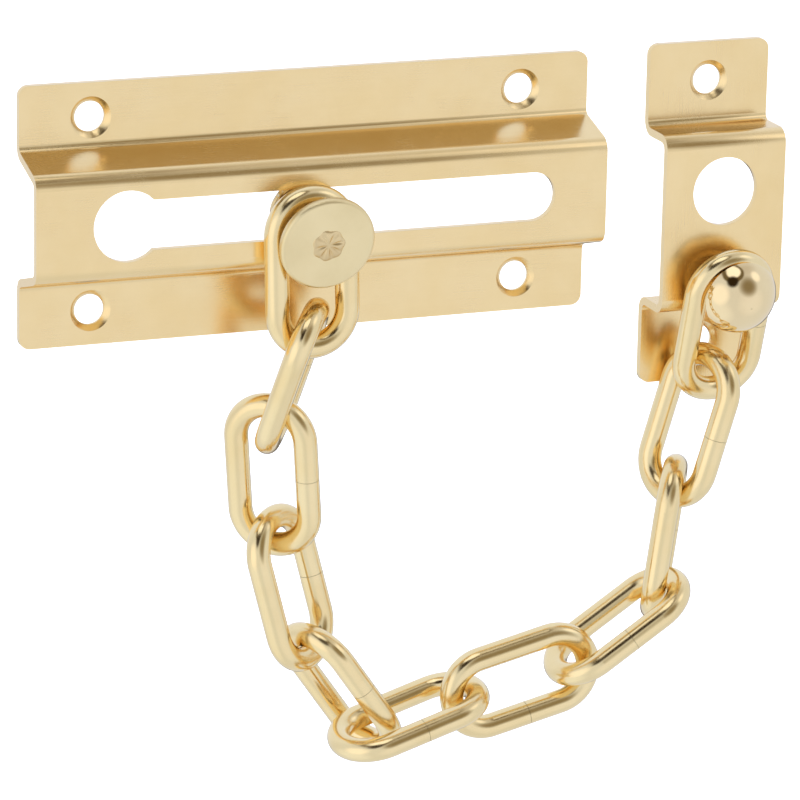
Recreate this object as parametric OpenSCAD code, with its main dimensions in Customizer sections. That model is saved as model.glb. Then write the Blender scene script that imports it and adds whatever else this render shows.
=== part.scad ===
// Surface-mounted door chain guard: track plate, slide button, chain and jamb bracket.
// The wall is the plane Y = 0, the front faces -Y and +Z is up.
// The origin is the middle of the track plate's four screw holes, on the wall.

/* [Stamped plates] */
// Thickness of the sheet metal
sheet = 1.2; // [1:0.1:1.4]
// Inside radius of every bend
bend_r = 1; // [0.8:0.1:1.2]
// Radius of the flange corners
corner_r = 1.6; // [1:0.1:2.5]
// Diameter of the screw holes
screw_d = 4.4; // [4:0.1:4.8]
// Diameter of the countersink at the front of a screw hole
sink_d = 6; // [5.6:0.1:6.2]
// Depth of the countersink
sink_depth = 0.7; // [0.5:0.1:0.7]

/* [Track plate] */
// Length of the track plate
plate_l = 86; // [84:1:100]
// Height of the track plate over both flanges
plate_h = 38; // [36:1:44]
// Height of the raised channel, outside
channel_h = 16; // [15.6:0.1:17]
// Distance from the wall to the channel's front
channel_d = 9.4; // [9:0.1:9.8]
// Distance between the screw holes along the plate
screw_dx = 65; // [60:1:70]
// Distance between the screw holes across the plate
screw_dz = 28; // [27:0.5:30]
// Height of the slot
slot_h = 7.2; // [7.2:0.1:7.4]
// Centre of the keyhole's round end, along X
key_x = -29.5; // [-32:0.5:-28]
// Radius of the keyhole's round end
key_r = 5.15; // [5.1:0.05:5.3]
// Centre of the slot's closed end, along X
slot_x = 31.4; // [31.4:0.2:34]

/* [Jamb bracket] */
// Width of the bracket
bracket_w = 19; // [18:0.5:21]
// Height of the bracket over both flanges
bracket_h = 51.2; // [50:0.1:54]
// Height of the raised strap, outside
strap_h = 26.8; // [26.8:0.1:28]
// Distance from the wall to the strap's front
strap_d = 8.4; // [8.2:0.1:8.4]
// Middle of the bracket along X
bracket_x = 62.4; // [62:0.1:63]
// Middle of the bracket along Z
bracket_z = -6.3; // [-6.6:0.1:-6]
// Distance between the bracket's screw holes
bracket_screw_dz = 39.6; // [38:0.2:42]
// Radius of the parking hole
park_r = 5.1; // [4.5:0.1:5.3]
// Height of the parking hole above the strap's middle
park_dz = 4.7; // [4:0.1:5]

/* [Slide button] */
// Rest place of the button along X
button_x = -2.4; // [-29:0.1:31]
// How far the button's front droops, in degrees
droop = 14; // [10:1:15]
// Radius of the stud's shank
shank_r = 2.25; // [2:0.05:2.3]
// Radius of the stud's back head
head_r = 5; // [4.6:0.1:5]
// Thickness of the stud's back head
head_t = 1.4; // [1:0.1:1.8]
// Gap between the back head and the channel's inner face
head_gap = 0.2; // [0.1:0.05:0.3]
// Gap between the channel's front and the disc's lower edge, which holds the first link
link_gap = 3.9; // [3.8:0.1:4.2]
// Radius of the front disc
disc_r = 7; // [6.5:0.1:7.2]
// Thickness of the front disc
disc_t = 1.6; // [1.2:0.1:2]
// Radius of the tenon staked through the disc
tenon_r = 1.9; // [1.6:0.1:2]

/* [Anchor rivet] */
// Rest place of the rivet along X
rivet_x = 62.7; // [62.4:0.1:63]
// Rest place of the rivet along Z
rivet_z = -15; // [-15.2:0.1:-14.8]
// How far the rivet's front droops, in degrees
rivet_droop = 10; // [8:1:11]
// Gap between the strap's front and the dome, which holds the last link
rivet_gap = 6.1; // [6:0.1:6.4]
// Radius of the domed head
dome_r = 5.6; // [5.2:0.1:5.8]
// Height of the domed head
dome_h = 3.8; // [3.2:0.1:4.4]
// Radius of the spread tail behind the strap
tail_r = 2.5; // [2.4:0.05:2.5]

/* [Chain link] */
// Outside length of a link
link_l = 25.4; // [25.2:0.1:25.4]
// Outside width of a link
link_w = 14.2; // [14:0.1:14.4]
// Diameter of the wire
wire_d = 3.5; // [3.3:0.1:3.5]
// Width of the butt seam in the middle of one side
seam = 0.05; // [0.05:0.05:0.3]

/* [Hidden] */
$fn = 64;
// room left wherever a cutter passes through
spill = 1;

// Sheet metal
outer_r = bend_r + sheet;
// Directions square to the web: the channel's sides slope by a 7-24-25 triangle, and the strap's
// ends are straight
channel_up = [0.28, 0.96];
strap_up = [0, 1];
// The countersink's cone, carried on past the sheet's front
sink_top_d = screw_d + (sink_d - screw_d) * (sink_depth + spill) / sink_depth;

// Slide button, along its own axis from the middle of the channel's sheet
channel_back = channel_d - sheet;
channel_mid = channel_d - sheet / 2;
head_front = -(sheet / 2 + head_gap + head_r * sin(droop)) / cos(droop);
disc_back = (sheet / 2 + link_gap + disc_r * sin(droop)) / cos(droop);
disc_front = disc_back + disc_t;
disc_edge = 0.35;
head_edge = 0.25;
// The leaning shank rests a hair above the slot's lower edge
button_z = shank_r / cos(droop) + sheet / 2 * tan(droop) - slot_h / 2 + 0.1;
// The star that the staking punch leaves in the tenon
star_arms = 4;
star_w = 0.45;
star_deep = 0.35;

// Anchor rivet, along its own axis from the middle of the strap's sheet
pin_r = 2.1;
tail_h = 1;
tail_front = -sheet / 2 - tail_r * tan(rivet_droop);
strap_back = strap_d - sheet;
strap_mid = strap_d - sheet / 2;
dome_base = (sheet / 2 + rivet_gap) / cos(rivet_droop);
dome_ball = (dome_r * dome_r + dome_h * dome_h) / (2 * dome_h);

// Chain: a link's end wires are span apart and its end bows have the radius bow_r
span = link_l - wire_d;
bow_r = (link_w - wire_d) / 2;
side_l = link_l - link_w;
// Distance from the first and last link's end wire to the point that the link hangs from
hook = 4.15;
// Rest pose, a row for each link, from the pin down. Swing turns the link from straight down
// towards +X and roll turns it about its own length. The standoffs are its two end wires'
// distances from the wall. The gap is how far the next link's end wire sits back inside this
// link, and the sidestep is how far it lies to the side.
//                swing roll near  far   gap  sidestep
button_chain = [[   2,  -2, 11.5,  11.3, 5.1, -0.8],
                [ -10, -60, 12.9,   4.9, 5.5, -1.4],
                [   6,  42,  7.4,   5.2, 4,    0],
                [  14, -35,  5.2,   6.6, 3.9,  0.4],
                [  35,  68,  7,     7,   0,    0]];
rivet_chain =  [[   0,  -3, 13.1,   6.7, 5.3, -1.9],
                [ -14,  64,  8.6,   6.9, 4.3,  0.1],
                [  -7, -61,  7.3,   6.8, 5.1, -0.9],
                [ -56,  86, 10.4,   9.7, 4.6,  0],
                [ -77,   0, 10.4,  10.4, 3.9, -0.7],
                [ -75,  84,  9.8,  11.3, 0,    0]];
// The first link lies a little to the left of its shank, and both end links hang from a point
// a little off their drooping pin
button_hang = [button_x - 0.8, button_z - 0.2];
rivet_hang = [rivet_x - 0.6, rivet_z - 0.1];
links = len(button_chain) + len(rivet_chain);

function link_name(i) = str("chain_link_", i < 10 ? "0" : "", i);

// Unit vectors in the XZ plane, along a link that swings by a and across it
function along(a) = [sin(a), -cos(a)];
function across(a) = [cos(a), sin(a)];
// How far a link leans towards the wall, and its length as seen from the front
function lean(row) = asin((row[2] - row[3]) / span);
function reach(row) = span * cos(lean(row));
// Where the first end wire of link i lies in a chain that hangs from a point
function near_end(rows, hang, i) =
    i == 0 ? hang - hook * along(rows[0][0])
           : near_end(rows, hang, i - 1) + step(rows[i - 1], (rows[i - 1][0] + rows[i][0]) / 2);
function step(row, mid) =
    reach(row) * along(row[0]) - row[4] * along(mid) + row[5] * across(mid);

// The bend between two flats: the part of a ring between two directions
module bend(from, to) {
    intersection() {
        difference() {
            circle(r = outer_r);
            circle(r = bend_r);
        }
        polygon([[0, 0], 2 * outer_r * from, 2 * outer_r * (from + to), 2 * outer_r * to]);
    }
}

// Upper half of a hat section: X is the distance from the wall and Y the height. The rise
// from one bend's centre to the other is rounded, so that the web meets both bends exactly.
module half_hat(total_h, raised_h, depth, up) {
    face_bend = [depth - outer_r, raised_h / 2 - outer_r];
    rise = round(1e4 * (outer_r + bend_r + (depth - 2 * outer_r) * up[0]) / up[1]) / 1e4;
    flange_bend = [outer_r, face_bend[1] + rise];
    translate([0, flange_bend[1]])
        square([sheet, total_h / 2 - flange_bend[1]]);
    translate(flange_bend)
        bend([-1, 0], -up);
    polygon([flange_bend - outer_r * up, face_bend + bend_r * up,
             face_bend + outer_r * up, flange_bend - bend_r * up]);
    translate(face_bend)
        bend([1, 0], up);
    translate([depth - sheet, 0])
        square([sheet, face_bend[1]]);
}

// A hat section as long as length, with its four outer corners rounded
module hat_strip(length, total_h, raised_h, depth, up) {
    difference() {
        rotate([90, 0, -90])
            linear_extrude(height = length, center = true)
                union() {
                    half_hat(total_h, raised_h, depth, up);
                    mirror([0, 1])
                        half_hat(total_h, raised_h, depth, up);
                }
        for (x = [0, 1], z = [0, 1])
            mirror([x, 0, 0])
                mirror([0, 0, z])
                    translate([length / 2 - corner_r, 0, total_h / 2 - corner_r])
                        corner_cutter();
    }
}

module corner_cutter() {
    rotate([90, 0, 0])
        linear_extrude(height = sheet + 2 * spill, center = true)
            difference() {
                square(corner_r + spill);
                circle(r = corner_r);
            }
}

// A round hole through a plate whose back is at the origin, drilled towards the front
module hole(r, depth) {
    rotate([90, 0, 0])
        translate([0, 0, -spill])
            cylinder(r = r, h = depth + 2 * spill);
}

module screw_hole() {
    hole(screw_d / 2, sheet);
    rotate([90, 0, 0])
        translate([0, 0, sheet - sink_depth])
            cylinder(d1 = screw_d, d2 = sink_top_d, h = sink_depth + spill);
}

module track_plate() {
    color([0.88, 0.78, 0.56])
        difference() {
            hat_strip(plate_l, plate_h, channel_h, channel_d, channel_up);
            for (x = [-1, 1], z = [-1, 1])
                translate([x * screw_dx / 2, 0, z * screw_dz / 2])
                    screw_hole();
            rotate([90, 0, 0])
                translate([0, 0, channel_back - spill])
                    linear_extrude(height = sheet + 2 * spill)
                        keyhole();
        }
}

module keyhole() {
    translate([key_x, 0])
        circle(r = key_r);
    translate([key_x, -slot_h / 2])
        square([slot_x - key_x, slot_h]);
    translate([slot_x, 0])
        circle(r = slot_h / 2);
}

module jamb_bracket() {
    color([0.88, 0.78, 0.56])
        difference() {
            translate([bracket_x, 0, bracket_z])
                hat_strip(bracket_w, bracket_h, strap_h, strap_d, strap_up);
            for (z = [-1, 1])
                translate([bracket_x, 0, bracket_z + z * bracket_screw_dz / 2])
                    screw_hole();
            translate([bracket_x, -strap_back, bracket_z + park_dz])
                hole(park_r, sheet);
            rivet_place()
                cylinder(r = pin_r, h = 2 * sheet + spill, center = true);
        }
}

// The rivet's axis, with Z along it towards the front
module rivet_place() {
    translate([rivet_x, -strap_mid, rivet_z])
        rotate([90 + rivet_droop, 0, 0])
            children();
}

module anchor_rivet() {
    color([0.8, 0.72, 0.52])
        rivet_place()
            union() {
                translate([0, 0, tail_front - tail_h])
                    cylinder(r = tail_r, h = tail_h);
                translate([0, 0, tail_front])
                    cylinder(r = pin_r, h = dome_base - tail_front);
                translate([0, 0, dome_base])
                    rotate_extrude()
                        intersection() {
                            translate([0, dome_h - dome_ball])
                                circle(r = dome_ball);
                            square([dome_r, dome_h]);
                        }
            }
}

// The button's axis, with Z along it towards the front
module button_place() {
    translate([button_x, -channel_mid, button_z])
        rotate([90 + droop, 0, 0])
            children();
}

module slide_stud() {
    color([0.75, 0.66, 0.46])
        button_place()
            difference() {
                rotate_extrude()
                    polygon([[0, head_front - head_t], [head_r - head_edge, head_front - head_t],
                             [head_r, head_front - head_t + head_edge],
                             [head_r, head_front - head_edge], [head_r - head_edge, head_front],
                             [shank_r, head_front], [shank_r, disc_back], [tenon_r, disc_back],
                             [tenon_r, disc_front], [0, disc_front]]);
                for (i = [0:star_arms - 1])
                    rotate(i * 180 / star_arms)
                        translate([0, 0, disc_front])
                            cube([2 * tenon_r - 0.4, star_w, 2 * star_deep], center = true);
            }
}

module slide_disc() {
    color([0.8, 0.76, 0.66])
        button_place()
            rotate_extrude()
                polygon([[tenon_r, disc_back], [disc_r - disc_edge, disc_back],
                         [disc_r, disc_back + disc_edge], [disc_r, disc_front - disc_edge],
                         [disc_r - disc_edge, disc_front], [tenon_r, disc_front]]);
}

// A link standing upright in the XZ plane, with the seam in the middle of its +X side
module oval_link() {
    difference() {
        union() {
            for (end = [0, 1])
                mirror([0, 0, end])
                    translate([0, 0, side_l / 2])
                        rotate([90, 0, 0])
                            rotate_extrude(angle = 180)
                                translate([bow_r, 0])
                                    circle(d = wire_d);
            for (x = [-bow_r, bow_r])
                translate([x, 0, 0])
                    cylinder(d = wire_d, h = side_l, center = true);
        }
        translate([bow_r, 0, 0])
            cube([wire_d + spill, wire_d + spill, seam], center = true);
    }
}

module hung_link(rows, hang, i) {
    row = rows[i];
    middle = near_end(rows, hang, i) + reach(row) / 2 * along(row[0]);
    translate([middle[0], -(row[2] + row[3]) / 2, middle[1]])
        rotate([0, -row[0], 0])
            rotate([lean(row), 0, 0])
                rotate([0, 0, -row[1]])
                    oval_link();
}

// Links are numbered from the button to the rivet
module chain_link(i) {
    color([0.85, 0.76, 0.53])
        if (i <= len(button_chain))
            hung_link(button_chain, button_hang, i - 1);
        else
            hung_link(rivet_chain, rivet_hang, links - i);
}

track_plate();
jamb_bracket();
anchor_rivet();
slide_stud();
slide_disc();
for (i = [1:links])
    chain_link(i);
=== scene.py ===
"""Looks of the door chain guard: satin brass sheet, drawn brass wire, a staked disc and a domed rivet."""
import math

import bmesh
import bpy
from mathutils import Matrix, Vector


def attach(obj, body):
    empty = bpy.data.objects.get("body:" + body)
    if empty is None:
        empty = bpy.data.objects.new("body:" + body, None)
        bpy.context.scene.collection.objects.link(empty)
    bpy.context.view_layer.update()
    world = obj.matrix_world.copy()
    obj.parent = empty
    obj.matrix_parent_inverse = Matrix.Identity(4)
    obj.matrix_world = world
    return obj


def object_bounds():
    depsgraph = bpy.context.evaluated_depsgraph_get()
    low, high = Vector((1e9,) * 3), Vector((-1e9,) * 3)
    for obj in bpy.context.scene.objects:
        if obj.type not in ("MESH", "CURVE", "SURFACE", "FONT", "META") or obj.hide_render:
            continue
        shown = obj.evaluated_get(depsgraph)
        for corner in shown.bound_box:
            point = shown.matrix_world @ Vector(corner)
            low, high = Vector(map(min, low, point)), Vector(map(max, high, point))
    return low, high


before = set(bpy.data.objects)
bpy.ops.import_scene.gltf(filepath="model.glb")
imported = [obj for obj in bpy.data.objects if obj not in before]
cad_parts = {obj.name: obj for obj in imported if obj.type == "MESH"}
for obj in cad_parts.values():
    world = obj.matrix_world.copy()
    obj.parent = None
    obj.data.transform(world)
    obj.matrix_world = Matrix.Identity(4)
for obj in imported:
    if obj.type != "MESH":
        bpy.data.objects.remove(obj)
cad_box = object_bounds()
MM = 0.001
scene = bpy.context.scene


# ---------------------------------------------------------------- camera and studio
CAMERA_AZIMUTH = -21.44
CAMERA_ELEVATION = 16.14
CAMERA_ROLL = 1.16
CAMERA_DISTANCE = 725.3 * MM
CAMERA_TARGET = Vector((15.27, 0, -31.62)) * MM
CAMERA_LENS = 223.5
SENSOR_WIDTH = 36


def toward(azimuth, elevation):
    """Unit vector at these angles. Azimuth 0 is straight in front of the plates, + is to the right."""
    a, e = math.radians(azimuth), math.radians(elevation)
    return Vector((math.sin(a) * math.cos(e), -math.cos(a) * math.cos(e), math.sin(e)))


def make_camera():
    back = toward(CAMERA_AZIMUTH, CAMERA_ELEVATION)
    level = back.cross(Vector((0, 0, -1))).normalized()
    right = Matrix.Rotation(math.radians(CAMERA_ROLL), 3, back) @ level
    up = back.cross(right)
    data = bpy.data.cameras.new("camera")
    data.lens = CAMERA_LENS
    data.sensor_width = SENSOR_WIDTH
    data.clip_start = 10 * MM
    data.clip_end = 20
    camera = bpy.data.objects.new("camera", data)
    scene.collection.objects.link(camera)
    axes = Matrix((right, up, back)).transposed()
    camera.matrix_world = Matrix.Translation(CAMERA_TARGET + CAMERA_DISTANCE * back) @ axes.to_4x4()
    scene.camera = camera


# Studio as the metal sees it. Its even white is slightly cool beside the deep brass.
STUDIO = (0.77, 0.835, 1.02)
CEILING = (0.6, 0.6, 0.66)
# Sines of the elevations where the ceiling starts to show and where it is all that shows
CEILING_STARTS, CEILING_FULL = 0.6, 0.95
# Soft-edged regions, each laid over those before it: the middle's azimuth and elevation, the radius
# and the soft edge in degrees, and the colour
REGIONS = {
    "far_side": ((158, -16), 22, 10, (0.15, 0.13, 0.1)),
    "white_wall": ((180, 35), 50, 14, (0.84, 0.92, 1.16)),
    "lower_left": ((-85, -40), 30, 18, (0.92, 1, 1.2)),
    "table_front": ((24, -18), 26, 18, (0.87, 0.93, 1.13)),
    "room": ((17, 26), 17, 16, (0.26, 0.222, 0.155)),
    "top_frame": ((-40, 66), 27, 3, (0.16, 0.13, 0.08)),
    "top_box": ((-40, 70), 17, 3, (1.2, 1.24, 1.4)),
    "open_front": ((-34, 42), 15, 5, (0.03, 0.02, 0.01)),
    "left_window": ((-68, 2), 24, 10, (1.1, 1.14, 1.32)),
    "right_box": ((60, 40), 10, 6, (1.12, 1.16, 1.34)),
}


class Sky:
    """The world's node tree, as a picture that depends only on the direction looked in."""

    def __init__(self, world):
        self.tree = world.node_tree
        self.background = self.tree.nodes["Background"]
        coordinates = self.tree.nodes.new("ShaderNodeTexCoord")
        self.direction = coordinates.outputs["Generated"]

    def along(self, axis):
        node = self.tree.nodes.new("ShaderNodeVectorMath")
        node.operation = "DOT_PRODUCT"
        self.tree.links.new(self.direction, node.inputs[0])
        node.inputs[1].default_value = axis
        return node.outputs["Value"]

    def edge(self, value, low, high):
        """Smooth step from 0 at low to 1 at high."""
        node = self.tree.nodes.new("ShaderNodeMapRange")
        node.interpolation_type = "SMOOTHSTEP"
        node.inputs["From Min"].default_value = low
        node.inputs["From Max"].default_value = high
        self.tree.links.new(value, node.inputs["Value"])
        return node.outputs["Result"]

    def lay(self, amount, under, colour):
        """colour over what is under it, as far as amount says."""
        node = self.tree.nodes.new("ShaderNodeMix")
        node.data_type = "RGBA"
        self.tree.links.new(amount, node.inputs["Factor"])
        if isinstance(under, tuple):
            node.inputs[6].default_value = (*under, 1)
        else:
            self.tree.links.new(under, node.inputs[6])
        node.inputs[7].default_value = (*colour, 1)
        return node.outputs[2]


def make_world():
    world = bpy.data.worlds.new("studio")
    world.use_nodes = True
    sky = Sky(world)
    overhead = sky.edge(sky.along((0, 0, 1)), CEILING_STARTS, CEILING_FULL)
    picture = sky.lay(overhead, STUDIO, CEILING)
    for (azimuth, elevation), radius, soft, colour in REGIONS.values():
        near = sky.along(toward(azimuth, elevation))
        outer, inner = (math.cos(math.radians(reach)) for reach in (radius + soft, radius - soft))
        picture = sky.lay(sky.edge(near, outer, inner), picture, colour)
    sky.tree.links.new(picture, sky.background.inputs["Color"])
    scene.world = world


# The spread and the tilt are in degrees
SKYLIGHT_STRENGTH = 3.2
SKYLIGHT_SPREAD = 100
SKYLIGHT_TILT = (8, -6, 0)


def make_skylight():
    """Broad soft light from above that keeps the floor evenly pale. It does not show in reflections."""
    data = bpy.data.lights.new("skylight", "SUN")
    data.energy = SKYLIGHT_STRENGTH
    data.angle = math.radians(SKYLIGHT_SPREAD)
    lamp = bpy.data.objects.new("skylight", data)
    lamp.rotation_euler = [math.radians(tilt) for tilt in SKYLIGHT_TILT]
    lamp.visible_glossy = False
    scene.collection.objects.link(lamp)


# Side of the floor and its distance below the chain, in mm
FLOOR_SIZE = 8000
FLOOR_DROP = 60
FLOOR_PAINT = (0.95, 0.95, 0.95)


def make_floor():
    """Plain pale floor, well below the chain. The metal does not reflect it."""
    half, level = FLOOR_SIZE / 2 * MM, cad_box[0].z - FLOOR_DROP * MM
    mesh = bpy.data.meshes.new("floor")
    mesh.from_pydata([(-half, -half, level), (half, -half, level), (half, half, level), (-half, half, level)],
                     [], [(0, 1, 2, 3)])
    floor = bpy.data.objects.new("floor", mesh)
    scene.collection.objects.link(floor)
    paint = bpy.data.materials.new("pale_floor")
    paint.use_nodes = True
    shader = paint.node_tree.nodes["Principled BSDF"]
    shader.inputs["Base Color"].default_value = (*FLOOR_PAINT, 1)
    shader.inputs["Roughness"].default_value = 0.8
    mesh.materials.append(paint)
    floor.visible_glossy = False


make_camera()
make_world()
make_floor()
make_skylight()
scene.view_settings.view_transform = "Standard"


# ---------------------------------------------------------------- materials
class Nodes:
    """A material's node tree, with short ways to add and join nodes."""

    def __init__(self, name):
        self.material = bpy.data.materials.new(name)
        self.material.use_nodes = True
        self.tree = self.material.node_tree
        self.shader = self.tree.nodes["Principled BSDF"]
        coordinates = self.tree.nodes.new("ShaderNodeTexCoord")
        self.place = coordinates.outputs["Object"]

    def add(self, kind, **values):
        node = self.tree.nodes.new(kind)
        for key, value in values.items():
            setattr(node, key, value)
        return node

    def join(self, source, target):
        self.tree.links.new(source, target)

    def noise(self, scale, detail, roughness=0.5):
        """Noise from 0 to 1. The scale is one number, or a number for each axis for stretched noise."""
        node = self.add("ShaderNodeTexNoise")
        node.inputs["Detail"].default_value = detail
        node.inputs["Roughness"].default_value = roughness
        if isinstance(scale, tuple):
            mapping = self.add("ShaderNodeMapping")
            mapping.inputs["Scale"].default_value = scale
            self.join(self.place, mapping.inputs["Vector"])
            self.join(mapping.outputs["Vector"], node.inputs["Vector"])
            node.inputs["Scale"].default_value = 1
        else:
            node.inputs["Scale"].default_value = scale
            self.join(self.place, node.inputs["Vector"])
        return node.outputs["Fac"]

    def spread(self, value, low, high, to_low, to_high):
        """Moves the range low..high of a value to the range to_low..to_high."""
        node = self.add("ShaderNodeMapRange")
        for key, number in zip(("From Min", "From Max", "To Min", "To Max"), (low, high, to_low, to_high)):
            node.inputs[key].default_value = number
        self.join(value, node.inputs["Value"])
        return node.outputs["Result"]

    def mix(self, amount, first, second):
        """From the colour first to the colour second, as far as amount says."""
        node = self.add("ShaderNodeMix", data_type="RGBA")
        self.join(amount, node.inputs["Factor"])
        node.inputs[6].default_value = (*first, 1)
        node.inputs[7].default_value = (*second, 1)
        return node.outputs[2]

    def combine(self, operation, first, second):
        """Sum or product of two values. Each is a socket or a number."""
        node = self.add("ShaderNodeMath", operation=operation)
        for socket, value in zip(node.inputs, (first, second)):
            if isinstance(value, (int, float)):
                socket.default_value = value
            else:
                self.join(value, socket)
        return node.outputs[0]

    def bump(self, height, depth):
        node = self.add("ShaderNodeBump")
        node.inputs["Distance"].default_value = depth
        self.join(height, node.inputs["Height"])
        self.join(node.outputs["Normal"], self.shader.inputs["Normal"])


# Noise scales, in waves per metre: tarnish patches, smudges and the surface's slight waviness
TARNISH_SCALE = 90
SMUDGE_SCALE = 140
WAVE_SCALE = 60
# Height of the waviness, in metres, and how much the grain changes the roughness either way
WAVE_DEPTH = 2e-5
GRAIN_GLOSS = 0.03


def brass(name, pale, deep, roughness, grain, grain_depth):
    """Brass with tarnish, smudges and grain. A smaller scale for one axis draws the grain out along it."""
    nodes = Nodes(name)
    nodes.shader.inputs["Metallic"].default_value = 1
    tarnish = nodes.spread(nodes.noise(TARNISH_SCALE, 4, 0.6), 0.35, 0.7, 0, 1)
    nodes.join(nodes.mix(tarnish, pale, deep), nodes.shader.inputs["Base Color"])
    fine = nodes.noise(grain, 4, 0.6)
    smudge = nodes.spread(nodes.noise(SMUDGE_SCALE, 5, 0.6), 0.3, 0.7, *roughness)
    brushed = nodes.spread(fine, 0.3, 0.7, -GRAIN_GLOSS, GRAIN_GLOSS)
    nodes.join(nodes.combine("ADD", smudge, brushed), nodes.shader.inputs["Roughness"])
    wave = nodes.combine("MULTIPLY", nodes.noise(WAVE_SCALE, 2), WAVE_DEPTH / grain_depth)
    nodes.bump(nodes.combine("ADD", fine, wave), grain_depth)
    return nodes.material


SHEET = ((0.975, 0.735, 0.362), (0.945, 0.69, 0.315), (0.2, 0.28))
# For each look: the clean and the tarnished colour, the range of roughness, the grain's scale in waves
# per metre and its depth in metres. The sheet is brushed along each plate's length.
LOOKS = {
    "track_sheet": brass("track_sheet", *SHEET, (160, 7000, 7000), 4e-6),
    "bracket_sheet": brass("bracket_sheet", *SHEET, (7000, 7000, 160), 4e-6),
    "wire": brass("wire", (0.97, 0.765, 0.395), (0.94, 0.71, 0.335), (0.14, 0.24), 900, 3e-6),
    "stud": brass("stud", (0.87, 0.66, 0.33), (0.76, 0.55, 0.26), (0.25, 0.38), 1200, 5e-6),
    "disc": brass("disc", (0.97, 0.78, 0.41), (0.89, 0.71, 0.36), (0.36, 0.46), 900, 8e-6),
    "dome": brass("dome", (0.95, 0.75, 0.41), (0.91, 0.69, 0.36), (0.05, 0.09), 400, 1e-6),
}


# The look of each node. The links are all of wire.
LOOK_OF = {"track_plate": "track_sheet", "jamb_bracket": "bracket_sheet", "anchor_rivet": "dome",
           "slide_stud": "stud", "slide_disc": "disc"}
# Widths of the rounded edges, in mm. The links and the rivet keep their own smooth shading.
EDGE = {"track_plate": 0.22, "jamb_bracket": 0.22, "slide_stud": 0.08, "slide_disc": 0.2}


def soften(node, width):
    """Joins the split vertices of the imported mesh and rounds its sharp edges."""
    weld = node.modifiers.new("weld", "WELD")
    weld.merge_threshold = 0.001 * MM
    bevel = node.modifiers.new("edges", "BEVEL")
    bevel.width = width * MM
    bevel.segments = 3
    bevel.limit_method = "ANGLE"
    bevel.angle_limit = math.radians(35)
    bevel.harden_normals = True


for name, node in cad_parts.items():
    node.data.materials.clear()
    node.data.materials.append(LOOKS[LOOK_OF.get(name, "wire")])
    if name in EDGE:
        soften(node, EDGE[name])


# ---------------------------------------------------------------- staked end of the stud
# Sizes in mm. The root is how deep the mark goes into the disc.
STAKE_RADIUS = 2.35
STAKE_HEIGHT = 0.3
STAKE_ROOT = 0.1
STAKE_LOBES = 7
STAKE_RINGS = 22
STAKE_STEPS = 168
# How far the lobes sway round as they go outwards, in radians, and how ragged they leave the outline
LOBE_SWAY = 2.2
RAGGEDNESS = 0.045
# The punch mark's depth and width, and the grooves' depth, as parts of the height and the radius
DIMPLE_DEPTH, DIMPLE_WIDTH = 0.75, 0.3
GROOVE_DEPTH = 0.8
# How far the disc's front leans down, in degrees
DROOP = 14


def stake_height(radius, angle):
    """Height of the peened end over the disc: a dimpled middle, and lobes that fall off to the rim."""
    part = radius / STAKE_RADIUS
    lobes = 0.5 + 0.5 * math.cos(STAKE_LOBES * angle + LOBE_SWAY * math.sin(angle + 1) * part)
    rim = 1 - part ** 6
    middle = 1 - DIMPLE_DEPTH * math.exp(-(part / DIMPLE_WIDTH) ** 2)
    grooves = 1 - GROOVE_DEPTH * (1 - lobes) ** 2 * min(1, 2.4 * part)
    return STAKE_HEIGHT * rim * middle * grooves


def stake_outline(radius, angle):
    """Distance from the middle to the outline of the peened end's ring, in mm."""
    part = radius / STAKE_RADIUS
    return radius * (1 + RAGGEDNESS * part ** 2 * math.sin(STAKE_LOBES * angle + 0.7))


def front_of_disc(lean):
    """Middle of the slide disc's front, in axes turned by lean so that the disc faces +Z."""
    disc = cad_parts["slide_disc"]
    corners = [lean.inverted() @ disc.matrix_world @ vertex.co for vertex in disc.data.vertices]
    lows = [min(corner[axis] for corner in corners) for axis in range(3)]
    highs = [max(corner[axis] for corner in corners) for axis in range(3)]
    return Vector(((lows[0] + highs[0]) / 2, (lows[1] + highs[1]) / 2, highs[2]))


def make_stake():
    """The tenon's end, spread over the disc by a star punch. It stands on the middle of the disc's front."""
    mesh = bpy.data.meshes.new("stake_mark")
    shape = bmesh.new()
    top = shape.verts.new((0, 0, stake_height(0, 0) * MM))
    rings = []
    for ring in range(1, STAKE_RINGS + 1):
        radius = STAKE_RADIUS * ring / STAKE_RINGS
        rings.append([])
        for step in range(STAKE_STEPS):
            angle = math.tau * step / STAKE_STEPS
            reach = stake_outline(radius, angle)
            place = Vector((reach * math.cos(angle), reach * math.sin(angle), stake_height(radius, angle)))
            rings[-1].append(shape.verts.new(place * MM))
    rings.append([shape.verts.new((vert.co.x, vert.co.y, -STAKE_ROOT * MM)) for vert in rings[-1]])
    for step in range(STAKE_STEPS):
        after = (step + 1) % STAKE_STEPS
        shape.faces.new((top, rings[0][step], rings[0][after]))
        for inner, outer in zip(rings, rings[1:]):
            shape.faces.new((inner[step], outer[step], outer[after], inner[after]))
    shape.faces.new(rings[-1][::-1])
    for polygon in shape.faces:
        polygon.smooth = True
    shape.to_mesh(mesh)
    shape.free()
    mesh.materials.append(LOOKS["stud"])
    piece = bpy.data.objects.new("stake_mark", mesh)
    scene.collection.objects.link(piece)
    lean = Matrix.Rotation(math.radians(90 + DROOP), 4, "X")
    piece.matrix_world = lean @ Matrix.Translation(front_of_disc(lean))
    bpy.context.view_layer.update()
    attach(piece, "slide_button")


make_stake()
